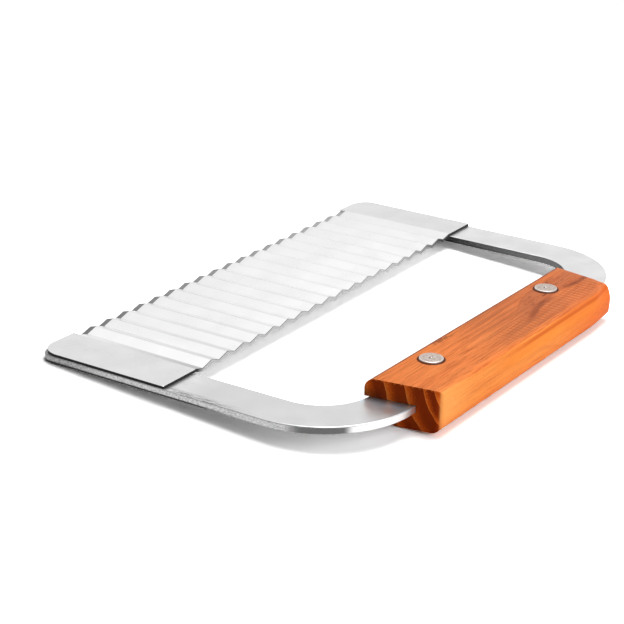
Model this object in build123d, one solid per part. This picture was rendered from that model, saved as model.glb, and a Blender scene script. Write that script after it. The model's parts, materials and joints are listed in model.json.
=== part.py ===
from build123d import *
import math
import os

# Blade: one stainless sheet, flat at both ends and pressed into a wave between them.
blade_length = 180.0
blade_width = 48.2
sheet_thickness = 1.0
valley_count = 19
wave_depth = 1.3
# The ridges stand this far above the flat lands.
ridge_rise = 0.3
# The part of each wave that falls, going from the near end to the far end.
fall_share = 0.45
bend_radius = 0.5
bevel_width = 2.6
cutting_edge_thickness = 0.25
blade_corner_radius = 6.5
# The wave starts and ends this far inside the frame's arms.
near_wave_gap = 0.7
far_wave_gap = 0.1
# Each end of the blade is wider by this much at the cutting edge than at the spine.
blade_flare = 0.7

# Frame: flat steel bar bent into a U. The reach is how far it goes behind the spine at each arm:
# it was bent by hand, so the far arm is a little longer.
bar_width = 14.3
bar_thickness = 2.4
near_reach = 64.6
far_reach = 68.2
corner_radius = 31.0
bar_edge_radius = 0.4
tip_outer_radius = 4.5
tip_inner_radius = 1.0
# The arms lean apart, so that each tip stands this far outside the end of the spine.
arm_splay = 0.7

# Handle: one block of wood, slotted from the front, with both ends cut on a slant.
handle_length = 119.7
handle_width = 23.2
handle_thickness = 13.3
end_slant_angle = 10.5
# The block stands this far in front of the crossbar and off the middle of the frame.
handle_lip = 1.3
handle_shift = -0.55
slot_drop = 0.25
slot_clearance = 0.05
slot_end_gap = 0.2
front_edge_radius = 3.2
rear_top_radius = 1.8
rear_bottom_radius = 3.0
rear_corner_radius = 2.5
far_end_radius = 6.4

# Rivets: solid, with a low head above and a tail dressed flush with the wood below.
rivet_spacing = 71.4
# The rivets stand this far in from the crossbar's rear edge, and their middle this far off the
# handle's middle.
rivet_inset = 7.0
rivet_shift = -1.85
shank_radius = 2.0
hole_clearance = 0.05
head_radius = 3.7
head_proud = 0.6
head_recess = 0.35
recess_clearance = 0.15
head_edge_radius = 0.3
tail_edge_radius = 0.15
punch_mark_radius = 0.45
punch_mark_depth = 0.3

# Spot welds: a row of fused spots between each land of the blade and the arm under it.
weld_count = 3
weld_spacing = 15.0
weld_radius = 2.0
# Each spot reaches this far into the sheet and this far into the bar.
weld_reach = 0.5

# Every cut runs past the wood or steel that it opens by this much.
overrun = 2.0

# Levels and places worked out from the sizes above. Zero is the top of the blade's lands.
bar_top = -sheet_thickness
bar_bottom = bar_top - bar_thickness
bar_middle = (bar_top + bar_bottom) / 2
handle_top = bar_middle + slot_drop + handle_thickness / 2
handle_bottom = handle_top - handle_thickness
near_land = bar_width + near_wave_gap
far_land = bar_width + far_wave_gap
pitch = (blade_length - near_land - far_land) / valley_count
valley_level = ridge_rise - wave_depth
crossbar_angle = -math.degrees(math.atan2(far_reach - near_reach, blade_length))


def offset_line(points, distance):
    """The open line of points, moved sideways to its right by distance, with mitred corners."""
    moved = []
    steps = [(b - a).normalized() for a, b in zip(points, points[1:])]
    normals = [Vector(step.Y, -step.X) for step in steps]
    for index, point in enumerate(points):
        before = normals[max(index - 1, 0)]
        after = normals[min(index, len(normals) - 1)]
        middle = (before + after).normalized()
        moved.append(point + middle * (distance / middle.dot(after)))
    return moved


def wave_line():
    """The corners of the blade's top surface, seen from the spine, from the near end to the far end."""
    points = [Vector(-blade_flare, 0), Vector(near_land, 0)]
    for valley in range(valley_count):
        points.append(Vector(near_land + (valley + fall_share) * pitch, valley_level))
        if valley < valley_count - 1:
            points.append(Vector(near_land + (valley + 1) * pitch, ridge_rise))
    points += [Vector(blade_length - far_land, 0), Vector(blade_length + blade_flare, 0)]
    return points


def wave_radii(on_top):
    """One radius for each bend of the wave: a bend is tight on its inner side and wide on its outer side."""
    wide = bend_radius + sheet_thickness
    crest, hollow = (wide, bend_radius) if on_top else (bend_radius, wide)
    return [crest, hollow] * valley_count + [crest]


def upright(sketch_face, y):
    """A face drawn in X and height, stood up at a distance y from the spine."""
    return Plane(origin=(0, y, 0), x_dir=(1, 0, 0), z_dir=(0, -1, 0)) * sketch_face


def face_between(first, second):
    """The face between two lines that run side by side from the near end to the far end."""
    start = Line(first @ 0, second @ 0)
    end = Line(first @ 1, second @ 1)
    return make_face([*first.edges(), *second.edges(), *start.edges(), *end.edges()])


def blade_outline():
    """The blade's plan: a sharp-cornered spine and two rounded corners at the cutting edge."""
    corners = [(0, 0), (blade_length, 0), (blade_length + blade_flare, blade_width),
               (-blade_flare, blade_width)]
    plan = make_face(Polyline(*corners, close=True))
    front_corners = plan.vertices().sort_by(Axis.Y)[-2:]
    return fillet(front_corners, blade_corner_radius)


def make_welds(x):
    """A row of round welds across the joint between a land and its arm."""
    row = GridLocations(0, weld_spacing, 1, weld_count)
    spot = Cylinder(weld_radius, weld_reach * 2)
    return [Pos(x, blade_width / 2, bar_top) * place * spot for place in row]


def make_blade(welds):
    crests = wave_line()
    top_line = FilletPolyline(*crests, radius=wave_radii(True))
    low_line = FilletPolyline(*offset_line(crests, sheet_thickness), radius=wave_radii(False))
    sheet = extrude(upright(face_between(top_line, low_line), 0), blade_width, dir=(0, 1, 0))

    # The bevel is ground on the top side before pressing, so it follows the wave. The lands stay blunt.
    sky_level = ridge_rise + overrun
    sky_line = Line((-blade_flare, sky_level), (blade_length + blade_flare, sky_level))
    stone_face = upright(face_between(sky_line, top_line), blade_width - bevel_width)
    grind = Vector(0, bevel_width, cutting_edge_thickness - sheet_thickness)
    stone = extrude(stone_face, grind.length * (bevel_width + overrun) / bevel_width, dir=grind)
    stone &= Pos(near_land, 0, 0) * Box(blade_length - near_land - far_land, blade_width * 3, blade_width,
                                        align=(Align.MIN, Align.CENTER, Align.CENTER))
    blank = extrude(blade_outline(), overrun * 2, both=True)
    return (sheet - stone) & blank - welds


def frame_outline():
    """The plan of the U: two straight arms, a crossbar and two rounded corners."""
    lean = arm_splay / blade_width
    front = blade_width + overrun
    outer = [Vector(-front * lean, front), Vector(near_reach * lean, -near_reach),
             Vector(blade_length - far_reach * lean, -far_reach), Vector(blade_length + front * lean, front)]
    inner = offset_line(outer, -bar_width)
    outer_line = FilletPolyline(*outer, radius=corner_radius)
    inner_line = FilletPolyline(*inner, radius=corner_radius - bar_width)
    return face_between(outer_line, inner_line)


def finish_tips(plan):
    """Cuts the arms off square, level with the cutting edge, and rounds their corners."""
    keep = Rectangle(blade_length * 2, blade_length * 2, align=(Align.CENTER, Align.MAX))
    plan &= Pos(blade_length / 2, blade_width) * keep
    tips = plan.vertices().sort_by(Axis.Y)[-4:].sort_by(Axis.X)
    plan = fillet([tips[0], tips[-1]], tip_outer_radius)
    inside = plan.vertices().filter_by(lambda v: bar_width / 2 < v.X < blade_length - bar_width / 2)
    return fillet(inside.sort_by(Axis.Y)[-2:], tip_inner_radius)


def make_frame(welds, rivet_holes):
    bar = Pos(0, 0, bar_bottom) * extrude(finish_tips(frame_outline()), bar_thickness)
    bar = fillet(bar.edges().group_by(Axis.Z)[-1] + bar.edges().group_by(Axis.Z)[0], bar_edge_radius)
    return bar - welds - rivet_holes


def on_crossbar(along, inwards, level):
    """A place measured along the crossbar from the handle's middle, and inwards from its rear edge."""
    middle = Location((blade_length / 2, -(near_reach + far_reach) / 2, 0), (0, 0, crossbar_angle))
    return middle * Pos(handle_shift + along, inwards, level)


def handle_plan():
    """The block from above: longer at the front, with its two rear corners rounded."""
    slant = handle_width * math.tan(math.radians(end_slant_angle))
    front = handle_length / 2
    rear = front - slant
    corners = [(-front, handle_width / 2), (front, handle_width / 2), (rear, -handle_width / 2),
               (-rear, -handle_width / 2)]
    plan = make_face(Polyline(*corners, close=True))
    return fillet(plan.vertices().sort_by(Axis.Y)[:2], rear_corner_radius)


def handle_section():
    """The block from its end: wide rounds at the front and small ones at the rear."""
    section = Rectangle(handle_width, handle_thickness)
    section = fillet(section.vertices().sort_by(Axis.X)[-2:], front_edge_radius)
    rear_top = section.vertices().sort_by_distance((-handle_width / 2, handle_thickness / 2))[0]
    section = fillet(rear_top, rear_top_radius)
    rear_bottom = section.vertices().sort_by_distance((-handle_width / 2, -handle_thickness / 2))[0]
    return fillet(rear_bottom, rear_bottom_radius)


def handle_side():
    """The block from its front: the far end is nearly half-round, and the near end runs past."""
    side = Rectangle(handle_length * 2, handle_thickness, align=(Align.MAX, Align.CENTER))
    side = fillet(side.vertices().sort_by(Axis.X)[-2:], far_end_radius)
    return Pos(handle_length / 2, 0) * side


def make_handle(rivet_holes, recesses):
    block = extrude(handle_plan(), handle_thickness, both=True)
    across = Plane(origin=(0, 0, 0), x_dir=(0, 1, 0), z_dir=(1, 0, 0))
    block &= extrude(across * handle_section(), handle_length, both=True)
    slant = Vector(math.tan(math.radians(end_slant_angle)), 1, 0)
    block &= extrude(upright(handle_side(), handle_width / 2), handle_width + overrun, dir=slant, both=True)

    # The slot is one saw cut, open at the front and at both ends.
    front = bar_width + handle_lip
    block = on_crossbar(0, front - handle_width / 2, handle_top - handle_thickness / 2) * block
    slot_depth = front + slot_end_gap
    slot_height = bar_thickness + slot_clearance * 2
    saw_cut = Box(handle_length + overrun, slot_depth + overrun, slot_height,
                  align=(Align.CENTER, Align.MIN, Align.CENTER))
    return block - on_crossbar(0, -slot_end_gap, bar_middle) * saw_cut - rivet_holes - recesses


def rivet_places():
    half = rivet_spacing / 2
    return [on_crossbar(rivet_shift + along, rivet_inset, 0) for along in (-half, half)]


def make_rivet():
    """A rivet on its own axis: low head, shank and dressed tail, with a punch mark in the head."""
    standing = (Align.CENTER, Align.CENTER, Align.MIN)
    head = Cylinder(head_radius, head_proud + head_recess, align=standing)
    head = fillet(head.edges().sort_by(Axis.Z)[-1], head_edge_radius)
    tail = Cylinder(head_radius, head_recess, align=standing)
    tail = fillet(tail.edges().sort_by(Axis.Z)[0], tail_edge_radius)
    shank = Cylinder(shank_radius, handle_thickness, align=standing)
    mark = Cone(0, punch_mark_radius, punch_mark_depth, align=standing)
    rivet = Pos(0, 0, handle_top - head_recess) * head + Pos(0, 0, handle_bottom) * (shank + tail)
    return rivet - Pos(0, 0, handle_top + head_proud - punch_mark_depth) * mark


def make_rivet_holes():
    drill = Pos(0, 0, bar_middle) * Cylinder(shank_radius + hole_clearance, handle_thickness + overrun)
    return [place * drill for place in rivet_places()]


def make_recesses():
    """The shallow rounds in the wood that the heads and tails sit in."""
    cutter = Cylinder(head_radius + recess_clearance, overrun, align=(Align.CENTER, Align.CENTER, Align.MIN))
    above = Pos(0, 0, handle_top - head_recess) * cutter
    below = Pos(0, 0, handle_bottom + head_recess - overrun) * cutter
    return [place * cut for place in rivet_places() for cut in (above, below)]


def resting_tilt():
    """The angle at which the arms' tips and the handle's near front edge lie on one flat surface."""
    handle_front = on_crossbar(-handle_length / 2, bar_width + handle_lip, 0).position.Y
    reach = blade_width - (handle_front - front_edge_radius)
    drop = bar_bottom - (handle_bottom + front_edge_radius)
    return math.atan2(drop, reach) + math.asin(front_edge_radius / math.hypot(reach, drop))


def lay_down(nodes):
    """Tilts the tool on to its resting points and centres it over the origin."""
    tilt = Rot(-math.degrees(resting_tilt()), 0, 0)
    tilted = {name: tilt * shape for name, shape in nodes.items()}
    box = Compound(list(tilted.values())).bounding_box()
    centred = Pos(-(box.min.X + box.max.X) / 2, -(box.min.Y + box.max.Y) / 2, -box.min.Z)
    return {name: centred * shape for name, shape in tilted.items()}


def build():
    near_welds = make_welds(bar_width / 2)
    far_welds = make_welds(blade_length - bar_width / 2)
    holes = make_rivet_holes()
    rivet = make_rivet()
    near_place, far_place = rivet_places()
    return lay_down({
        "blade": make_blade(near_welds + far_welds),
        "frame": make_frame(near_welds + far_welds, holes),
        "handle": make_handle(holes, make_recesses()),
        "rivet_near": near_place * rivet,
        "rivet_far": far_place * rivet,
        "spot_welds_near": Compound(near_welds),
        "spot_welds_far": Compound(far_welds),
    })


os.makedirs("parts", exist_ok=True)
for name, shape in build().items():
    export_step(shape, f"parts/{name}.step")
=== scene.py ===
"""The looks of a soap cutter: a wavy steel blade across a U of flat bar, with a riveted wooden handle."""

import json
import math

import bmesh
import bpy
from mathutils import Matrix, Vector


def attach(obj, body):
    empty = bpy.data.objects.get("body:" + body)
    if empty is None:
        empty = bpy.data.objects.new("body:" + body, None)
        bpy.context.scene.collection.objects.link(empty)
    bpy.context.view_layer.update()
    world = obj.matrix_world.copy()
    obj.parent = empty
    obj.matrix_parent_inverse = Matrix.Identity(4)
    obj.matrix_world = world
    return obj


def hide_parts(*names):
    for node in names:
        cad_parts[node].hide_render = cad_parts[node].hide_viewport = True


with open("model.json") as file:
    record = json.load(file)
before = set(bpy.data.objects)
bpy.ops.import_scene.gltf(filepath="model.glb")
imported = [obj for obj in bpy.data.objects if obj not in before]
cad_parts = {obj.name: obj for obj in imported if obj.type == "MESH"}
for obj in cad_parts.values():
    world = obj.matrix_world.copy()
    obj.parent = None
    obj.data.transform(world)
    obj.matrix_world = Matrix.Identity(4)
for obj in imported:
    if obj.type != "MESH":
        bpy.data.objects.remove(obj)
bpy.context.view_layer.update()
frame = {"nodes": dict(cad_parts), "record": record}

MM = 0.001

# The tool's own directions. It lies on its blade's tips and its handle's front edge, so it leans
# back by a few degrees. Lengths below are in metres, and flat places are measured from the near end
# of the blade's spine: x along the blade, y towards the cutting edge, z up from the flat lands.
handle_back = next(m for m in frame["record"]["mounts"] if m["name"] == "handle_back")
lean = math.asin(handle_back["axis"][2])
blade_length = 180.0 * MM
spine_place = Vector((-blade_length / 2, 13.558 * MM, 5.875 * MM))
LIE = Matrix.Translation(spine_place) @ Matrix.Rotation(-lean, 4, "X")

# The blade.
blade_width = 48.2 * MM
sheet_thickness = 1.0 * MM
valley_count = 19
wave_depth = 1.3 * MM
ridge_rise = 0.3 * MM
fall_share = 0.45
bend_radius = 0.5 * MM
bevel_width = 2.6 * MM
cutting_edge_thickness = 0.25 * MM
blade_corner_radius = 6.5 * MM
near_land = 15.0 * MM
far_land = 14.4 * MM
blade_flare = 0.7 * MM
spine_chamfer = 0.12 * MM
side_chamfer_reach = 0.05 * MM

# The frame's bar.
bar_width = 14.3 * MM
bar_thickness = 2.4 * MM
near_reach = 64.6 * MM
far_reach = 68.2 * MM

# The handle and its rivets.
handle_thickness = 13.3 * MM
handle_width = 23.2 * MM
handle_lip = 1.3 * MM
slot_drop = 0.25 * MM
rivet_spacing = 71.4 * MM
rivet_inset = 7.0 * MM
# The middle of the two rivets lies this far off the crossbar's middle.
rivet_shift = -2.4 * MM
head_radius = 3.7 * MM

# The far rear corner is sanded off by this much at the top, the middle and the bottom of the handle,
# more and more from one place along it to the other, and from this far in front of its rear face.
far_corner_drawn = 3.3 * MM
far_corner_drawn_middle = 0.7 * MM
far_corner_drawn_below = 1.1 * MM
sanding_start = 42.0 * MM
sanding_end = 57.0 * MM
sanding_reach = 6.8 * MM
sanding_full_reach = 1.8 * MM

# The wood's growth rings are round an axis behind and above the handle. Each ring runs from one dark
# line to the next, at these distances from the axis. All are in millimetres, like the spacing of the
# saw's ticks on the top and of the nicks in the end's upper edge.
ring_axis_behind = 23.8
ring_axis_above = 8.5
ring_lines = (13.4, 19.0, 22.2, 27.8, 33.7, 39.5)
tick_spacing = 2.05
nick_spacing = 1.85
# Oil lifts the wood's red, green and blue by these, on its long faces and in its end grain.
oiled_face = (1.16, 1.23, 1.42)
oiled_grain = (1.35, 1.12, 0.8)

crossbar_angle = -math.atan2(far_reach - near_reach, blade_length)
crossbar_middle = Vector((blade_length / 2, -(near_reach + far_reach) / 2, 0))
BAR = LIE @ Matrix.Translation(crossbar_middle) @ Matrix.Rotation(crossbar_angle, 4, "Z")
# Places on the handle are measured from the middle of the two rivets: x along, y inwards from the
# crossbar's rear edge, z up from the blade's lands.
GRIP = BAR @ Matrix.Translation((rivet_shift, 0, 0))
handle_middle = -sheet_thickness - bar_thickness / 2 + slot_drop
handle_rear = bar_width + handle_lip - handle_width

# Where the wave and the bevel start and end on the blade, in millimetres.
wave_start = near_land / MM
wave_end = (blade_length - far_land) / MM
bevel_start = (blade_width - bevel_width) / MM

# Points of a mesh that are closer than this become one.
joining_distance = 0.002 * MM

# The camera, found from the picture's vanishing lines.
camera_turn = math.radians(-55.85)
camera_height = math.radians(21.83)
camera_roll = math.radians(0.44)
camera_distance = 515.16 * MM
camera_aim = Vector((72.32 * MM, -2.55 * MM, 0))
focal_pixels = 1600
picture_pixels = 624
sensor_width = 36.0

# The studio: one soft lamp above, a bright panel low behind the handle, and a room that is darker on
# the picture's left.
lamp_direction = Vector((0.20, 0.04, 0.97)).normalized()
lamp_distance = 0.55
lamp_size = 0.32
lamp_watts = 2.45
panel_direction = Vector((0.15, -0.93, 0.33)).normalized()
panel_light = 3.2
picture_left = Vector((-0.93, 0.25, -0.25)).normalized()

# The floor's shade as the camera sees it, as the steel mirrors it, and as it lights the tool.
floor_reach = 3.0
floor_seen = 1.55
floor_mirrored = 1.1
floor_lighting = 0.6


class Graph:
    """A node tree with short ways to add and join nodes."""

    def __init__(self, tree):
        self.tree = tree
        tree.nodes.clear()

    def add(self, kind, inputs=None, **settings):
        node = self.tree.nodes.new(kind)
        for name, value in settings.items():
            setattr(node, name, value)
        for name, value in (inputs or {}).items():
            self.feed(node.inputs[name], value)
        return node

    def make(self, kind, inputs=None, **settings):
        """Adds a node and gives its first output."""
        return self.add(kind, inputs, **settings).outputs[0]

    def feed(self, socket, value):
        if isinstance(value, bpy.types.NodeSocket):
            self.tree.links.new(value, socket)
        else:
            socket.default_value = value

    def math(self, operation, *values, clamp=False):
        return self.make("ShaderNodeMath", dict(enumerate(values)), operation=operation, use_clamp=clamp)

    def minus(self, first, second):
        return self.math("SUBTRACT", first, second)

    def plus(self, *values):
        total = values[0]
        for value in values[1:]:
            total = self.math("ADD", total, value)
        return total

    def times(self, *values):
        product = values[0]
        for value in values[1:]:
            product = self.math("MULTIPLY", product, value)
        return product

    def vector(self, operation, *values, output="Vector"):
        node = self.add("ShaderNodeVectorMath", dict(enumerate(values)), operation=operation)
        return node.outputs[output]

    def dot(self, first, second):
        return self.vector("DOT_PRODUCT", first, second, output="Value")

    def distance(self, x, y):
        return self.vector("LENGTH", self.join(x, y, 0.0), output="Value")

    def parts(self, vector):
        node = self.add("ShaderNodeSeparateXYZ", {0: vector})
        return node.outputs[0], node.outputs[1], node.outputs[2]

    def join(self, x, y, z):
        return self.make("ShaderNodeCombineXYZ", {0: x, 1: y, 2: z})

    def step(self, value, start, end, low=0.0, high=1.0):
        """Goes smoothly from low to high as value goes from start to end."""
        node = self.add("ShaderNodeMapRange", {"Value": value, "From Min": start, "From Max": end,
                                               "To Min": low, "To Max": high},
                        interpolation_type="SMOOTHSTEP")
        return node.outputs["Result"]

    def line(self, value, start, end, low=0.0, high=1.0):
        """Goes evenly from low to high as value goes from start to end."""
        node = self.add("ShaderNodeMapRange", {"Value": value, "From Min": start, "From Max": end,
                                               "To Min": low, "To Max": high})
        return node.outputs["Result"]

    def near(self, value, middle, full, gone):
        """1 within full of the middle, falling to 0 at gone."""
        return self.step(self.math("ABSOLUTE", self.minus(value, middle)), full, gone, 1.0, 0.0)

    def noise(self, place, scale, detail, roughness):
        """Noise with its scale per millimetre, one for all directions or one for each."""
        if not isinstance(scale, float):
            place, scale = self.vector("MULTIPLY", place, scale), 1.0
        node = self.add("ShaderNodeTexNoise", {"Vector": place, "Scale": scale, "Detail": detail,
                                               "Roughness": roughness})
        return node.outputs["Fac"]

    def mix(self, share, first, second):
        """A colour between first and second."""
        node = self.add("ShaderNodeMix", data_type="RGBA")
        self.feed(node.inputs[0], share)
        self.feed(node.inputs[6], first)
        self.feed(node.inputs[7], second)
        return node.outputs[2]

    def shade(self, value, start, end, first, second):
        """A colour that goes from first to second as value goes from start to end."""
        return self.mix(self.step(value, start, end), first, second)

    def lay(self, under, color, *shares):
        """A colour laid over another, as densely as its shares multiplied."""
        return self.mix(self.times(*shares), under, color)

    def blend(self, share, first, second):
        """A number between first and second."""
        node = self.add("ShaderNodeMix", data_type="FLOAT")
        self.feed(node.inputs[0], share)
        self.feed(node.inputs[2], first)
        self.feed(node.inputs[3], second)
        return node.outputs[0]

    def bump(self, height, distance, strength=1.0, normal=None):
        values = {"Height": height, "Distance": distance, "Strength": strength}
        if normal is not None:
            values["Normal"] = normal
        return self.add("ShaderNodeBump", values).outputs["Normal"]


def srgb(red, green, blue):
    """A colour picked as 0 to 255 on the screen, as the linear colour that a shader takes."""
    def linear(value):
        value /= 255
        return value / 12.92 if value <= 0.04045 else ((value + 0.055) / 1.055) ** 2.4
    return (linear(red), linear(green), linear(blue), 1.0)


def grey(value):
    return (value, value, value, 1.0)


def new_material(name):
    material = bpy.data.materials.new(name)
    material.use_nodes = True
    return material, Graph(material.node_tree)


def flat_place(g, place=LIE):
    """Where a point of the surface lies in the tool's own directions, in millimetres."""
    coordinates = g.add("ShaderNodeTexCoord").outputs["Object"]
    mapping = g.add("ShaderNodeMapping", {"Vector": coordinates, "Location": place.translation,
                                          "Rotation": place.to_euler(), "Scale": (MM, MM, MM)},
                    vector_type="TEXTURE")
    return mapping.outputs["Vector"]


def surface_direction(g):
    """Where the surface faces: along the blade, towards the cutting edge, up."""
    return g.parts(g.add("ShaderNodeNewGeometry").outputs["Normal"])


def finish_surface(g, color, roughness, relief, metallic=0.0, **constants):
    values = {"Base Color": color, "Roughness": roughness, "Normal": relief, "Metallic": metallic}
    values.update({name.replace("_", " "): value for name, value in constants.items()})
    surface = g.add("ShaderNodeBsdfPrincipled", values)
    g.add("ShaderNodeOutputMaterial", {"Surface": surface.outputs[0]})


def blade_steel():
    """Bright pressed sheet: faint rolling lines, painted light and shade on the wave, and a coarse ground
    bevel painted dark.
    """
    material, g = new_material("blade_steel")
    place = flat_place(g)
    x, y, _ = g.parts(place)
    facing_x, _, facing_z = surface_direction(g)
    clouds = g.noise(place, 0.09, 3.0, 0.55)
    lines = g.noise(place, (0.12, 9.0, 0.0), 3.0, 0.6)
    grinding = g.noise(place, (7.0, 0.6, 0.0), 3.0, 0.6)

    wave = g.times(g.step(x, wave_start - 0.4, wave_start + 0.2),
                   g.step(x, wave_end + 0.3, wave_end - 0.3))
    rising = g.times(g.step(facing_x, -0.06, -0.22), wave)
    # The first fall is less steep than the others.
    fall_slope = g.plus(facing_x, g.step(x, 18.9, 18.4, 0.0, 0.07))
    falling = g.times(g.step(fall_slope, 0.27, 0.335), wave)

    tone = g.shade(clouds, 0.3, 0.7, grey(0.67), grey(0.72))
    # Painted reflection: the wave is lighter towards the far end, and its rising sides are lighter than the
    # lands.
    tone = g.lay(tone, grey(0.90), wave, g.step(x, 60.0, 120.0), 0.6)
    tone = g.lay(tone, g.shade(x, 34.0, 20.0, grey(0.86), grey(0.93)), rising, 0.9)
    # Painted shade in the creases: the falls are darkest by the near land. They fade towards the cutting
    # edge and the far end.
    fall_painted_shade = g.shade(x, 17.0, 24.0, grey(0.20), grey(0.54))
    fall_painted_shade = g.lay(fall_painted_shade, grey(1.0), g.step(x, 24.0, 70.0))
    fall_painted_shade = g.lay(fall_painted_shade, grey(0.95), g.line(y, 0.0, 42.0, 0.15, 0.85))
    tone = g.lay(tone, fall_painted_shade, falling)
    # Painted shade: the whole wave is darkened a little, more towards the far end.
    tone = g.lay(tone, grey(0.0), wave, g.line(x, 20.0, 160.0, 0.01, 0.06))
    tone = g.lay(tone, grey(0.72), g.line(lines, 0.2, 0.8, 0.0, 0.25))

    # The ground bevel: real grinding scratches, and a painted dark reflection, darkest at the near end.
    ground = g.times(g.step(y, bevel_start - 0.1, bevel_start + 0.1), wave)
    scratched = g.line(grinding, 0.3, 0.7)
    near_bevel = g.mix(scratched, grey(0.09), grey(0.17))
    far_bevel = g.mix(scratched, grey(0.32), grey(0.46))
    tone = g.lay(tone, g.mix(g.line(x, 15.0, 150.0), near_bevel, far_bevel), ground)
    # Painted shade: the spine's chamfer is a dark line, darkest at the near end.
    spine_painted_shade = g.times(g.step(y, 0.16, 0.10), wave)
    tone = g.lay(tone, g.mix(g.line(x, 15.0, 120.0), grey(0.05), grey(0.16)), spine_painted_shade)
    underside = g.shade(clouds, 0.3, 0.7, grey(0.62), grey(0.70))
    tone = g.lay(tone, underside, g.step(facing_z, 0.0, -0.5))

    roughness = g.plus(g.line(clouds, 0.3, 0.7, 0.26, 0.32), g.times(ground, 0.12))
    finish_surface(g, tone, roughness, g.bump(lines, 0.004 * MM, 0.12), metallic=1.0)
    return material


def cut_edge():
    """The sheet's cut edges: grey along the wave and darker towards its far end, and black on the lands, a
    painted shadow over the bar.
    """
    material, g = new_material("cut_edge")
    place = flat_place(g)
    x, _, _ = g.parts(place)
    rub = g.noise(place, (2.0, 2.0, 6.0), 3.0, 0.6)
    wave = g.times(g.step(x, 15.5, 19.5), g.step(x, 165.5, 163.0))
    wave_edge = g.shade(rub, 0.3, 0.7, grey(0.42), grey(0.58))
    wave_edge = g.lay(wave_edge, grey(0.10), g.step(x, 120.0, 165.0), 0.8)
    # Painted shadow: the lands' edges over the bar are near black.
    painted_shadow_land_edge = g.shade(rub, 0.4, 0.8, grey(0.008), grey(0.05))
    tone = g.mix(wave, painted_shadow_land_edge, wave_edge)
    finish_surface(g, tone, 0.45, g.bump(rub, 0.03 * MM, 0.5), metallic=wave, Specular_IOR_Level=0.1)
    return material


def bar_top(g, place, clouds, lines):
    """The bar's brushed flats."""
    x, y, _ = g.parts(place)
    tone = g.shade(clouds, 0.3, 0.7, grey(0.67), grey(0.73))
    tone = g.lay(tone, grey(0.66), g.line(lines, 0.3, 0.7), 0.25)
    # The near arm and the near bend are darker, a painted shade, with scuffs along the outer edge and faint
    # blotches.
    tone = g.lay(tone, grey(0.57), g.step(y, 0.0, -14.0), g.step(x, 70.0, 45.0), 0.85)
    scuffs = g.step(g.noise(place, (3.2, 0.22, 1.0), 4.0, 0.65), 0.42, 0.60)
    tone = g.lay(tone, grey(0.17), g.near(x, 0.8, 0.5, 2.6), g.step(y, 1.0, -1.5),
                 g.step(y, -34.0, -12.0), scuffs)
    blotches = g.step(g.noise(place, (0.5, 0.16, 0.3), 4.0, 0.65), 0.50, 0.66)
    tone = g.lay(tone, grey(0.56), blotches, g.step(x, 80.0, 40.0), 0.3)
    # Dark at the near arm's tip, and a cool tint beside the handle, a painted reflection of the shade
    # there.
    tone = g.lay(tone, grey(0.24), g.step(y, 36.0, 43.0), g.step(x, 6.0, 2.0))
    return g.lay(tone, (0.49, 0.80, 0.96, 1.0), g.step(x, 24.0, 32.0), g.step(x, 60.0, 40.0),
                 g.step(y, -46.0, -51.0), 0.9)


def bar_side(g, place, facing, mottle):
    """The bar's sheared sides, mottled like a mill scale that was only part ground off, and painted darker
    than the flats as shade.
    """
    x, y, z = g.parts(place)
    facing_x, facing_y, _ = facing
    grit = g.noise(place, 4.0, 3.0, 0.7)
    # Painted shade: the sides' mottled tone is darker than the flats'.
    tone = g.shade(mottle, 0.34, 0.62, grey(0.34), grey(0.66))
    tone = g.lay(tone, grey(0.22), g.step(grit, 0.62, 0.75))
    # Painted shade: the near arm's side darkens towards its tip.
    near_tip_painted_shade = g.shade(mottle, 0.36, 0.60, grey(0.10), grey(0.36))
    tone = g.lay(tone, near_tip_painted_shade, g.step(y, 16.0, 42.0), 0.8)
    # Painted reflections: dark at the near bend, as it mirrors the shadow on the floor, and polished behind
    # it by the hand, painted near white there as it mirrors the lit floor.
    faces_bend = g.dot(g.join(*facing), Vector((-0.83, -0.56, 0.0)))
    tone = g.lay(tone, grey(0.14), g.step(faces_bend, 0.93, 0.985), g.step(y, -20.0, -36.0))
    tone = g.lay(tone, grey(0.95), g.step(facing_y, -0.70, -0.78), g.step(x, 4.0, 9.0))
    # Painted shade: the far arm's inner side is nearly black, a little lighter towards the handle, and the
    # bottom arris of the near arm is a dark line, a painted contact shadow.
    inner_painted_shade = g.shade(mottle, 0.35, 0.65, grey(0.03), grey(0.10))
    inner_painted_shade = g.lay(inner_painted_shade, grey(0.22), g.step(y, 0.0, -45.0), 0.55)
    tone = g.lay(tone, inner_painted_shade, g.step(x, 90.0, 110.0), g.step(facing_x, -0.3, -0.8))
    return g.lay(tone, grey(0.03), g.step(z, -2.55, -2.80), g.step(y, -30.0, -8.0), 0.95)


def bar_steel():
    """Satin bar: brushed flats, and rough sheared sides."""
    material, g = new_material("bar_steel")
    place = flat_place(g)
    facing = surface_direction(g)
    clouds = g.noise(place, 0.12, 3.0, 0.55)
    lines = g.noise(place, (5.0, 0.25, 0.0), 3.0, 0.6)
    mottle = g.noise(place, (2.4, 1.3, 3.4), 5.0, 0.7)
    side = g.step(g.math("ABSOLUTE", facing[2]), 0.85, 0.35)
    tone = g.mix(side, bar_top(g, place, clouds, lines), bar_side(g, place, facing, mottle))
    roughness = g.blend(side, g.line(clouds, 0.3, 0.7, 0.30, 0.36), g.line(mottle, 0.3, 0.7, 0.42, 0.30))
    relief = g.bump(lines, 0.004 * MM, 0.4)
    relief = g.bump(g.times(mottle, side), 0.08 * MM, 0.5, relief)
    finish_surface(g, tone, roughness, relief, metallic=1.0)
    return material


def rivet_offset(g, x, y):
    """How far a point lies from the nearer rivet's axis: away from the handle's middle, and inwards."""
    return g.minus(g.math("ABSOLUTE", x), rivet_spacing / MM / 2), g.minus(y, rivet_inset / MM)


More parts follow.
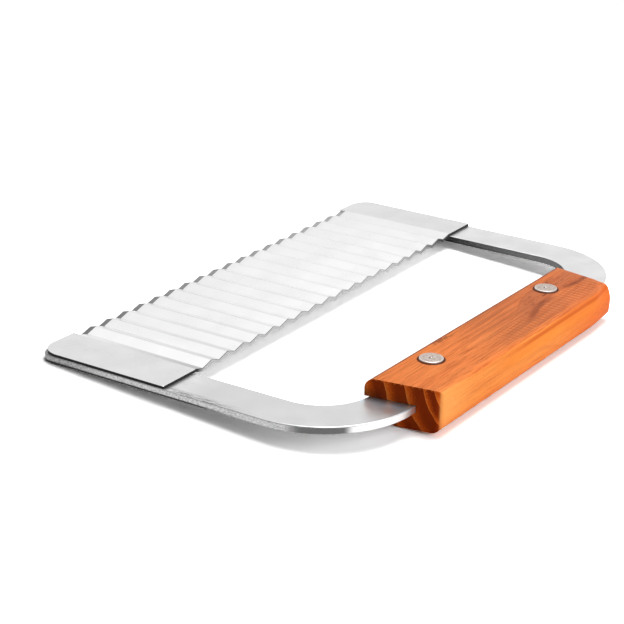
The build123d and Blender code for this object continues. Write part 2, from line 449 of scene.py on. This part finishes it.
class Wood:
    """What the handle's wood is made from: its directions, its growth rings and its fine grain."""

    def __init__(self, g):
        self.place = flat_place(g, GRIP)
        self.x, self.y, self.z = g.parts(self.place)
        facing_x, self.facing_y, self.facing_z = surface_direction(g)
        self.end = g.step(g.math("ABSOLUTE", facing_x), 0.60, 0.85)
        self.top = g.step(self.facing_z, 0.80, 0.97)
        self.fibres = g.noise(self.place, (0.10, 2.6, 2.6), 4.0, 0.65)
        self.streaks = g.noise(self.place, (0.03, 0.9, 0.9), 3.0, 0.6)
        self.pores = g.noise(self.place, (0.45, 5.0, 5.0), 2.0, 0.5)
        self.dots = g.noise(self.place, 3.2, 3.0, 0.6)
        # The rings swing to the front further along, the outer ones most.
        outer_swing = g.times(g.step(self.y, 3.0, 9.0), g.step(self.x, 8.0, 36.0, 0.0, 2.5))
        swing = g.plus(g.step(self.x, 4.0, 26.0, 0.0, 4.0), outer_swing)
        wander = g.line(g.noise(self.place, (0.035, 0.14, 0.14), 3.0, 0.5), 0.25, 0.75, -0.35, 0.35)
        across = g.plus(g.minus(self.y, swing), wander)
        self.radius = g.distance(g.plus(across, ring_axis_behind), g.minus(self.z, ring_axis_above))
        # How far out the point lies in its own ring, from 0 to 1.
        rings = zip(ring_lines, ring_lines[1:])
        turns = g.plus(*(g.line(self.radius, start, end) for start, end in rings))
        self.ring = g.math("FRACT", g.math("MINIMUM", turns, len(ring_lines) - 1.001))


def broken_ring_lines(g, wood):
    """Two of the dark lines as they show on the top, ragged and broken."""
    x = wood.x
    ragged = g.line(g.noise(wood.place, (0.5, 2.6, 2.6), 4.0, 0.7), 0.3, 0.7, -0.5, 0.5)
    torn = g.step(g.noise(wood.place, (0.35, 3.4, 3.4), 3.0, 0.6), 0.28, 0.50)
    radius = g.plus(wood.radius, ragged)
    outer = g.times(g.near(radius, ring_lines[3], 0.10, 0.50), g.step(x, 5.0, 22.0),
                    g.step(x, 46.0, 30.0), 0.45)
    inner_strength = g.plus(g.times(g.step(x, 3.0, 14.0), g.step(x, 34.0, 25.0)), g.step(x, 38.0, 46.0))
    inner = g.times(g.near(radius, ring_lines[2], 0.25, 1.6), inner_strength, torn, 0.95)
    return g.times(g.math("ADD", outer, inner, clamp=True), g.step(wood.facing_z, 0.2, 0.8))


def saw_ticks(g, wood):
    """Short marks of the saw across the rear half of the top, with a ragged end."""
    waver = g.line(wood.dots, 0.0, 1.0, -0.10, 0.10)
    tick = g.math("FRACT", g.plus(g.math("DIVIDE", wood.x, tick_spacing), waver))
    reach = g.line(g.noise(wood.place, (0.6, 0.0, 0.0), 2.0, 0.5), 0.3, 0.7, -0.4, 2.8)
    return g.times(g.near(tick, 0.5, 0.04, 0.16), g.step(wood.y, -7.0, -5.0),
                   g.step(g.minus(wood.y, reach), 1.0, -1.0), g.near(wood.x, 24.0, 28.0, 40.0), wood.top)


def long_faces(g, wood, ticks):
    """The long faces: lighter at the near half, browner at the far half, with a few marks of use and a
    painted shadow round the rivets' heads.
    """
    x, y, z, top = wood.x, wood.y, wood.z, wood.top
    rear = g.step(wood.facing_y, -0.75, -0.95)
    blotches = g.step(g.noise(wood.place, (0.05, 0.2, 0.2), 2.0, 0.5), 0.35, 0.65)
    face = g.shade(x, -10.0, 30.0, srgb(224, 128, 64), srgb(196, 112, 64))
    face = g.lay(face, srgb(224, 118, 56), blotches, 0.35)
    face = g.lay(face, g.shade(x, 10.0, 55.0, srgb(238, 142, 62), srgb(226, 106, 38)), rear)
    face = g.lay(face, srgb(204, 98, 42), g.step(wood.streaks, 0.45, 0.75), 0.5)

    # The figure: a brown ring with smudges, the rings' shading, the fibres, the pores and the lines.
    brown_ring = g.times(g.step(wood.radius, 22.0, 22.8), g.step(wood.radius, 28.2, 26.8),
                         g.step(x, 4.0, 22.0), top)
    smudges = g.step(g.noise(wood.place, (0.16, 0.55, 0.55), 4.0, 0.65), 0.52, 0.68)
    face = g.lay(face, srgb(176, 98, 58), brown_ring, 0.75)
    face = g.lay(face, srgb(106, 52, 30), brown_ring, smudges, 0.85)
    face = g.lay(face, srgb(190, 92, 44), g.step(wood.ring, 0.55, 0.0), 0.22)
    face = g.lay(face, srgb(164, 74, 32), g.step(wood.fibres, 0.44, 0.70),
                 g.line(rear, 0.0, 1.0, 0.7, 0.28))
    face = g.lay(face, srgb(126, 50, 20), g.step(wood.pores, 0.60, 0.75), 0.45)
    face = g.lay(face, srgb(128, 62, 34), broken_ring_lines(g, wood))

    # Saw ticks, a worn middle, and a burnt spot at the front edge of the top.
    face = g.lay(face, srgb(130, 54, 26), ticks, 0.48)
    face = g.lay(face, srgb(158, 86, 50), g.near(x, 4.0, 2.0, 32.0),
                 g.step(wood.streaks, 0.35, 0.60, 0.25, 1.0), top, 0.65)
    burnt = g.step(g.noise(wood.place, 0.6, 3.0, 0.6), 0.36, 0.56)
    face = g.lay(face, srgb(92, 40, 26), g.near(x, -20.5, 3.0, 7.0), g.step(y, 10.4, 12.6), burnt, 0.7)

    # The rear side: light at the near end, golden along the middle under a crease, redder below.
    behind = g.step(wood.facing_y, -0.45, -0.80)
    face = g.lay(face, srgb(252, 166, 84), behind, g.step(x, -30.0, -58.0), 0.7)
    face = g.lay(face, srgb(214, 100, 40), behind, g.step(z, -3.0, -7.5), 0.45)
    face = g.lay(face, srgb(244, 134, 36), behind, g.near(z, 0.6, 1.0, 4.0), g.step(x, -30.0, -6.0),
                 g.step(x, 60.0, 40.0), 0.5)
    face = g.lay(face, srgb(200, 84, 16), behind, g.near(z, 2.5, 0.3, 1.2), g.step(x, -24.0, 4.0), 0.75)
    face = g.lay(face, srgb(196, 84, 24), behind, g.step(wood.dots, 0.42, 0.66), 0.22)

    # The front side is brown, and a painted shadow rings the rivets' heads.
    face = g.lay(face, srgb(112, 58, 34), g.step(wood.facing_y, 0.12, 0.45), 0.8)
    from_rivet = g.distance(*rivet_offset(g, x, y))
    painted_rivet_shadow = g.step(from_rivet, head_radius / MM + 0.8, head_radius / MM + 0.3)
    return g.lay(face, srgb(60, 26, 14), painted_rivet_shadow, top)


def end_grain(g, wood):
    """Each ring is light just inside its line and darkens towards the next."""
    y, z = wood.y, wood.z
    speckled = g.plus(g.minus(1.0, wood.ring), g.line(wood.dots, 0.3, 0.7, -0.14, 0.14))
    grain = g.shade(speckled, 0.0, 0.55, srgb(216, 98, 22), srgb(134, 48, 2))
    grain = g.lay(grain, srgb(214, 124, 62), g.step(speckled, 0.14, 0.04), 0.75)
    # Painted shade: the end darkens towards the bottom, and is near black at its front bottom corner by the
    # slot.
    grain = g.lay(grain, srgb(104, 34, 2), g.step(z, 2.0, -8.0), 0.35)
    grain = g.lay(grain, srgb(52, 14, 2), g.step(y, 8.0, 13.0), g.step(z, 3.5, -0.5), 0.6)
    nicks = g.near(g.math("FRACT", g.math("DIVIDE", y, nick_spacing)), 0.5, 0.10, 0.24)
    return g.lay(grain, srgb(225, 130, 66), nicks, g.step(z, 4.0, 4.5), wood.end, 0.4)


def handle_wood():
    """Oiled reddish wood: curved growth rings, dark end grain with painted shade low down, and saw ticks on
    the top.
    """
    material, g = new_material("handle_wood")
    wood = Wood(g)
    ticks = saw_ticks(g, wood)
    face = g.vector("MULTIPLY", long_faces(g, wood, ticks), oiled_face)
    grain = g.vector("MULTIPLY", end_grain(g, wood), oiled_grain)
    relief = g.bump(wood.fibres, 0.05 * MM, 0.5)
    relief = g.bump(g.minus(wood.pores, g.times(ticks, 0.8)), 0.06 * MM, 0.4, relief)
    roughness = g.line(wood.fibres, 0.3, 0.7, 0.45, 0.55)
    finish_surface(g, g.mix(wood.end, face, grain), roughness, relief, Specular_IOR_Level=0.05)
    return material


def rivet_metal():
    """Bright rivet, hammered: a rough face with small dents, warmed by a painted reflection of the wood, a
    polished rim painted lighter as a highlight, and a punch mark.
    """
    material, g = new_material("rivet_metal")
    place = flat_place(g, GRIP)
    x, y, _ = g.parts(place)
    outwards, inwards = rivet_offset(g, x, y)
    dents = g.noise(place, 1.3, 4.0, 0.65)
    scratches = g.noise(place, (1.0, 6.0, 1.0), 3.0, 0.6)
    # The face's warm tint is a painted reflection of the wood.
    tone = g.shade(dents, 0.35, 0.62, (0.34, 0.28, 0.25, 1.0), (0.58, 0.49, 0.43, 1.0))
    tone = g.lay(tone, grey(0.36), g.step(scratches, 0.5, 0.7), 0.4)
    # Painted highlight: the polished rim is lighter.
    rim = g.step(g.distance(outwards, inwards), head_radius / MM - 0.5, head_radius / MM - 0.3)
    tone = g.lay(tone, (0.60, 0.56, 0.53, 1.0), rim)
    along = g.times(outwards, g.math("SIGN", x))
    from_mark = g.distance(g.plus(along, 0.35), g.minus(inwards, 0.1))
    tone = g.lay(tone, grey(0.03), g.step(from_mark, 0.55, 0.3))
    roughness = g.line(dents, 0.3, 0.7, 0.42, 0.30)
    finish_surface(g, tone, roughness, g.bump(dents, 0.10 * MM, 0.6), metallic=1.0)
    return material


def weld_steel():
    """Fused spots, sealed between the sheet and the bar."""
    material, g = new_material("weld_steel")
    ripples = g.noise(flat_place(g), 2.0, 3.0, 0.6)
    tone = g.shade(ripples, 0.3, 0.7, grey(0.35), grey(0.55))
    finish_surface(g, tone, 0.5, g.bump(ripples, 0.05 * MM), metallic=1.0)
    return material


def grow(name, shape_of, sizes):
    """A plain mesh object grown by Geometry Nodes: the tree's named inputs are the sizes."""
    tree = bpy.data.node_groups.new(name, "GeometryNodeTree")
    g = Graph(tree)
    for size, value in sizes.items():
        kind = "NodeSocketInt" if isinstance(value, int) else "NodeSocketFloat"
        tree.interface.new_socket(size, in_out="INPUT", socket_type=kind)
    tree.interface.new_socket("Geometry", in_out="OUTPUT", socket_type="NodeSocketGeometry")
    shape = shape_of(g, g.add("NodeGroupInput").outputs)
    g.add("NodeGroupOutput", {0: shape})
    holder = new_object(name + "_tree", bpy.data.meshes.new(name + "_tree"))
    modifier = holder.modifiers.new(name, "NODES")
    modifier.node_group = tree
    for item in tree.interface.items_tree:
        if item.in_out == "INPUT":
            modifier[item.identifier] = sizes[item.name]
    grown = bpy.data.meshes.new_from_object(holder.evaluated_get(bpy.context.evaluated_depsgraph_get()))
    bpy.data.objects.remove(holder)
    return new_object(name, grown)


def new_object(name, data):
    made = bpy.data.objects.new(name, data)
    bpy.context.scene.collection.objects.link(made)
    return made


def wave_profile(g, size):
    """The blade's top line, seen from the spine: land points, wave corners and land points again.

    The land points are spaced for the round corners at the cutting edge. The line lies flat, with its
    height measured downwards, as a profile does that is swept along the second axis.
    """
    land_steps = 6
    bend_steps = 6
    points = g.plus(g.times(size["Valleys"], 2.0), 2.0 * land_steps + 3.0)
    line = g.make("GeometryNodeMeshLine", {"Count": points}, mode="OFFSET")
    index = g.make("GeometryNodeInputIndex")
    from_end = g.minus(g.minus(points, 1.0), index)

    def land_x(step):
        angle = g.times(step, math.pi / 2 / land_steps)
        return g.times(size["Corner radius"], g.minus(1.0, g.math("COSINE", angle)))

    corner = g.minus(index, land_steps + 1.0)
    whole = g.math("FLOOR", g.math("DIVIDE", corner, 2.0))
    odd = g.minus(corner, g.times(whole, 2.0))
    between_lands = g.minus(size["Length"], g.plus(size["Near land"], size["Far land"]))
    pitch = g.math("DIVIDE", between_lands, size["Valleys"])
    wave_x = g.plus(size["Near land"], g.times(g.plus(whole, g.times(odd, size["Fall share"])), pitch))
    on_near = g.math("LESS_THAN", index, land_steps + 0.5)
    on_far = g.math("LESS_THAN", from_end, land_steps + 0.5)
    x = g.blend(on_near, wave_x, land_x(index))
    x = g.blend(on_far, x, g.minus(size["Length"], land_x(from_end)))
    level = g.math("MAXIMUM", g.math("LESS_THAN", index, land_steps + 1.5),
                   g.math("LESS_THAN", from_end, land_steps + 1.5))
    height = g.blend(odd, size["Ridge height"], g.minus(size["Ridge height"], size["Wave depth"]))
    height = g.blend(level, height, 0.0)
    placed = g.make("GeometryNodeSetPosition",
                    {"Geometry": line, "Position": g.join(x, g.times(height, -1.0), 0.0)})
    curve = g.make("GeometryNodeMeshToCurve", {"Mesh": placed})
    bend = g.blend(odd, g.plus(size["Bend radius"], size["Thickness"]), size["Bend radius"])
    bend = g.times(bend, g.minus(1.0, g.math("MAXIMUM", on_near, on_far)))
    return g.make("GeometryNodeFilletCurve", {"Curve": curve, "Count": bend_steps, "Radius": bend,
                                              "Limit Radius": True}, mode="POLY")


def blade_rows(g, size):
    """The line along which the profile is swept: close steps at the spine's chamfer and at the bevel."""
    rows = 26
    bevel_steps = 3
    line = g.make("GeometryNodeMeshLine", {"Count": rows}, mode="OFFSET")
    index = g.make("GeometryNodeInputIndex")
    from_end = g.minus(rows - 1.0, index)
    flat_end = g.minus(size["Width"], size["Bevel width"])
    y = g.line(index, 1.0, rows - 1.0 - bevel_steps, size["Chamfer"], flat_end)
    y = g.blend(g.math("LESS_THAN", index, 0.5), y, 0.0)
    on_bevel = g.minus(size["Width"], g.times(size["Bevel width"], from_end, 1.0 / bevel_steps))
    y = g.blend(g.math("LESS_THAN", from_end, bevel_steps + 0.5), y, on_bevel)
    placed = g.make("GeometryNodeSetPosition", {"Geometry": line, "Position": g.join(0.0, y, 0.0)})
    return g.make("GeometryNodeMeshToCurve", {"Mesh": placed})


def thicken(g, size, surface):
    """Draws the sheet's thickness downwards. "low" marks the lower points, and "cut" the cut sides."""
    normal = g.make("GeometryNodeInputNormal")
    surface = g.make("GeometryNodeStoreNamedAttribute",
                     {"Geometry": surface, "Name": "up", "Value": normal},
                     data_type="FLOAT_VECTOR", domain="POINT")
    down = g.times(size["Thickness"], -1.0)
    drawn = g.add("GeometryNodeExtrudeMesh", {"Mesh": surface, "Individual": False, "Offset Scale": down},
                  mode="FACES")
    shell = g.make("GeometryNodeStoreNamedAttribute",
                   {"Geometry": drawn.outputs["Mesh"], "Name": "low", "Value": drawn.outputs["Top"]},
                   data_type="BOOLEAN", domain="POINT")
    shell = g.make("GeometryNodeStoreNamedAttribute",
                   {"Geometry": shell, "Name": "cut", "Value": drawn.outputs["Side"]},
                   data_type="BOOLEAN", domain="FACE")
    shell = g.make("GeometryNodeFlipFaces", {"Mesh": shell})
    joined = g.add("GeometryNodeJoinGeometry")
    g.feed(joined.inputs[0], surface)
    g.feed(joined.inputs[0], shell)
    return g.make("GeometryNodeMergeByDistance", {"Geometry": joined.outputs[0],
                                                  "Distance": joining_distance})


def grind(g, size, sheet):
    """Takes metal off the top: the bevel along the wave, and a fine chamfer at the spine and the sides."""
    low = g.make("GeometryNodeInputNamedAttribute", {"Name": "low"}, data_type="BOOLEAN")
    up = g.make("GeometryNodeInputNamedAttribute", {"Name": "up"}, data_type="FLOAT_VECTOR")
    x, y, _ = g.parts(g.make("GeometryNodeInputPosition"))
    from_side = g.math("MINIMUM", x, g.minus(size["Length"], x))
    spine = g.line(y, 0.0, size["Chamfer"], size["Chamfer"], 0.0)
    side = g.line(from_side, 0.0, side_chamfer_reach, size["Chamfer"], 0.0)
    wave = g.times(g.math("GREATER_THAN", x, size["Near land"]),
                   g.math("LESS_THAN", x, g.minus(size["Length"], size["Far land"])))
    bevel = g.line(y, g.minus(size["Width"], size["Bevel width"]), size["Width"], 0.0,
                   g.minus(size["Thickness"], size["Edge thickness"]))
    taken = g.times(g.plus(g.math("MAXIMUM", spine, side), g.times(bevel, wave)), g.minus(1.0, low))
    offset = g.make("ShaderNodeVectorMath", {0: up, "Scale": g.times(taken, -1.0)}, operation="SCALE")
    return g.make("GeometryNodeSetPosition", {"Geometry": sheet, "Offset": offset})


def round_and_spread(g, size, sheet):
    """Rounds the corners at the cutting edge, and spreads the lands outwards like the frame's arms."""
    x, y, z = g.parts(g.make("GeometryNodeInputPosition"))
    radius = size["Corner radius"]
    from_side = g.math("MINIMUM", x, g.minus(size["Length"], x))
    short = g.minus(radius, g.math("MINIMUM", g.math("MAXIMUM", from_side, 0.0), radius))
    rise = g.math("SQRT", g.minus(g.times(radius, radius), g.times(short, short)))
    reach = g.plus(g.minus(size["Width"], radius), rise)
    share = g.math("DIVIDE", reach, size["Width"])
    new_y = g.times(y, share)
    spread = g.times(g.line(from_side, 0.0, size["Far land"], 1.0, 0.0), size["Flare"],
                     g.math("DIVIDE", new_y, size["Width"]))
    outwards = g.math("SIGN", g.minus(x, g.math("DIVIDE", size["Length"], 2.0)))
    place = g.join(g.plus(x, g.times(spread, outwards)), new_y, z)
    return g.make("GeometryNodeSetPosition", {"Geometry": sheet, "Position": place})


def wave_sheet(steel, edge):
    """The rule for the blade: sweep the wave, thicken it downwards, then grind and round it."""
    sharp_angle = 0.45

    def shape_of(g, size):
        surface = g.make("GeometryNodeCurveToMesh", {"Curve": blade_rows(g, size),
                                                     "Profile Curve": wave_profile(g, size)})
        sheet = round_and_spread(g, size, grind(g, size, thicken(g, size, surface)))
        sharp = g.math("GREATER_THAN", g.make("GeometryNodeInputMeshEdgeAngle"), sharp_angle)
        cut = g.make("GeometryNodeInputNamedAttribute", {"Name": "cut"}, data_type="BOOLEAN")
        sheet = g.make("GeometryNodeSetShadeSmooth",
                       {"Geometry": sheet, "Shade Smooth": True}, domain="FACE")
        sheet = g.make("GeometryNodeSetShadeSmooth",
                       {"Geometry": sheet, "Shade Smooth": False, "Selection": sharp}, domain="EDGE")
        sheet = g.make("GeometryNodeRealizeInstances", {"Geometry": sheet})
        sheet = g.make("GeometryNodeSetMaterial", {"Geometry": sheet, "Material": steel})
        return g.make("GeometryNodeSetMaterial", {"Geometry": sheet, "Selection": cut, "Material": edge})
    return shape_of


def make_blade(steel, edge):
    sizes = {"Length": blade_length, "Width": blade_width, "Thickness": sheet_thickness,
             "Valleys": valley_count, "Wave depth": wave_depth, "Ridge height": ridge_rise,
             "Fall share": fall_share, "Bend radius": bend_radius, "Near land": near_land,
             "Far land": far_land, "Corner radius": blade_corner_radius, "Flare": blade_flare,
             "Chamfer": spine_chamfer, "Bevel width": bevel_width, "Edge thickness": cutting_edge_thickness}
    blade = grow("pressed_blade", wave_sheet(steel, edge), sizes)
    blade.data.transform(LIE)
    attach(blade, "root")
    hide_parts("blade")


def add_points(shape, place, direction):
    """Adds points to the handle's far end, where a plane crosses it."""
    far_faces = [f for f in shape.faces if max(v.co.x for v in f.verts) > sanding_start - 0.01 * MM]
    parts = dict.fromkeys(far_faces)
    for face in far_faces:
        parts.update(dict.fromkeys((*face.edges, *face.verts)))
    bmesh.ops.bisect_plane(shape, geom=list(parts), dist=0.0001 * MM, plane_co=place, plane_no=direction)


def limited(share):
    return min(max(share, 0.0), 1.0)


def sanded_handle(material):
    """The handle with its far rear corner sanded off: a copy of the block, drawn in at that corner only."""
    steps_along = 12
    steps_up = 6
    sharp_angle = math.radians(28)
    half = handle_thickness / 2
    shape = bmesh.new()
    shape.from_mesh(frame["nodes"]["handle"].data)
    bmesh.ops.remove_doubles(shape, verts=shape.verts[:], dist=joining_distance)
    shape.transform(GRIP.inverted())
    for step in range(steps_along + 1):
        place = sanding_start + (sanding_end - sanding_start) * step / steps_along
        add_points(shape, (place, 0, 0), (1, 0, 0))
    for step in range(1 - steps_up, steps_up):
        add_points(shape, (0, 0, handle_middle + half * step / steps_up), (0, 0, 1))
    for point in shape.verts:
        share = limited((point.co.x - sanding_start) / (sanding_end - sanding_start))
        along = share * share * (3 - 2 * share)
        from_rear = point.co.y - handle_rear
        behind = limited((sanding_reach - from_rear) / (sanding_reach - sanding_full_reach))
        off = (point.co.z - handle_middle) / half
        most = far_corner_drawn if off > 0 else far_corner_drawn_below
        drawn = far_corner_drawn_middle + (most - far_corner_drawn_middle) * min(abs(off), 1.0) ** 1.5
        point.co.y += drawn * along * behind
    shape.transform(GRIP)
    for face in shape.faces:
        face.smooth = True
    for edge in shape.edges:
        edge.smooth = len(edge.link_faces) != 2 or edge.calc_face_angle(0.0) < sharp_angle
    mesh = bpy.data.meshes.new("sanded_handle")
    shape.to_mesh(mesh)
    shape.free()
    mesh.materials.append(material)
    handle = new_object("sanded_handle", mesh)
    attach(handle, "root")
    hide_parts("handle")


def give(node, material):
    """A part of the frame takes a better material in its own material slots."""
    shown = frame["nodes"][node]
    if not shown.data.materials:
        shown.data.materials.append(material)
    for index in range(len(shown.data.materials)):
        shown.data.materials[index] = material


def make_floor():
    """A plain white floor that keeps the tool's shadow."""
    mesh = bpy.data.meshes.new("floor")
    corners = [(x * floor_reach, y * floor_reach, 0) for x, y in ((-1, -1), (1, -1), (1, 1), (-1, 1))]
    mesh.from_pydata(corners, [], [(0, 1, 2, 3)])
    material, g = new_material("white_floor")
    path = g.add("ShaderNodeLightPath").outputs
    mirrored = g.math("ADD", path["Is Glossy Ray"], path["Is Transmission Ray"], clamp=True)
    tone = g.mix(mirrored, grey(floor_lighting), grey(floor_mirrored))
    tone = g.mix(path["Is Camera Ray"], tone, grey(floor_seen))
    paint = g.make("ShaderNodeBsdfDiffuse", {"Color": tone})
    g.add("ShaderNodeOutputMaterial", {"Surface": paint})
    mesh.materials.append(material)
    floor = new_object("floor", mesh)


def light_studio():
    """One soft lamp in a room that the camera sees as white and the steel mirrors as light grey to white.

    As a light the room is dim, but for its panel.
    """
    scene = bpy.context.scene
    world = bpy.data.worlds.new("studio")
    world.use_nodes = True
    scene.world = world
    g = Graph(world.node_tree)
    direction = g.add("ShaderNodeTexCoord").outputs["Generated"]
    leftness = g.dot(direction, picture_left)
    panel = g.step(g.dot(direction, panel_direction), 0.74, 0.97, 0.0, panel_light)
    lighting = g.plus(g.step(leftness, -0.2, 0.6, 0.12, 0.03), panel)
    mirrored = g.step(leftness, 0.1, 0.8, 1.0, 0.3)
    path = g.add("ShaderNodeLightPath").outputs
    room = g.mix(path["Is Glossy Ray"], lighting, mirrored)
    room = g.mix(path["Is Camera Ray"], room, grey(1.0))
    g.add("ShaderNodeOutputWorld", {"Surface": g.make("ShaderNodeBackground", {"Color": room})})

    lamp = bpy.data.lights.new("softbox", "AREA")
    lamp.shape = "SQUARE"
    lamp.size = lamp_size
    lamp.energy = lamp_watts
    softbox = new_object("softbox", lamp)
    softbox.location = lamp_direction * lamp_distance
    softbox.rotation_mode = "QUATERNION"
    softbox.rotation_quaternion = lamp_direction.to_track_quat("Z", "Y")


def place_camera():
    back = Vector((math.sin(camera_turn) * math.cos(camera_height),
                   -math.cos(camera_turn) * math.cos(camera_height), math.sin(camera_height)))
    right = Vector((math.cos(camera_turn), math.sin(camera_turn), 0))
    up = back.cross(right)
    turn = Matrix.Rotation(camera_roll, 4, back)
    axes = Matrix((turn @ right, turn @ up, back)).transposed().to_4x4()
    camera = bpy.data.cameras.new("camera")
    camera.sensor_width = sensor_width
    camera.lens = sensor_width * focal_pixels / picture_pixels
    camera.clip_start = 0.01
    holder = new_object("camera", camera)
    holder.matrix_world = LIE @ Matrix.Translation(camera_aim + back * camera_distance) @ axes
    bpy.context.scene.camera = holder


place_camera()
light_studio()
make_floor()
make_blade(blade_steel(), cut_edge())
give("frame", bar_steel())
sanded_handle(handle_wood())
rivet_finish = rivet_metal()
give("rivet_near", rivet_finish)
give("rivet_far", rivet_finish)
weld_finish = weld_steel()
give("spot_welds_near", weld_finish)
give("spot_welds_far", weld_finish)

bpy.context.scene.view_settings.view_transform = "Standard"
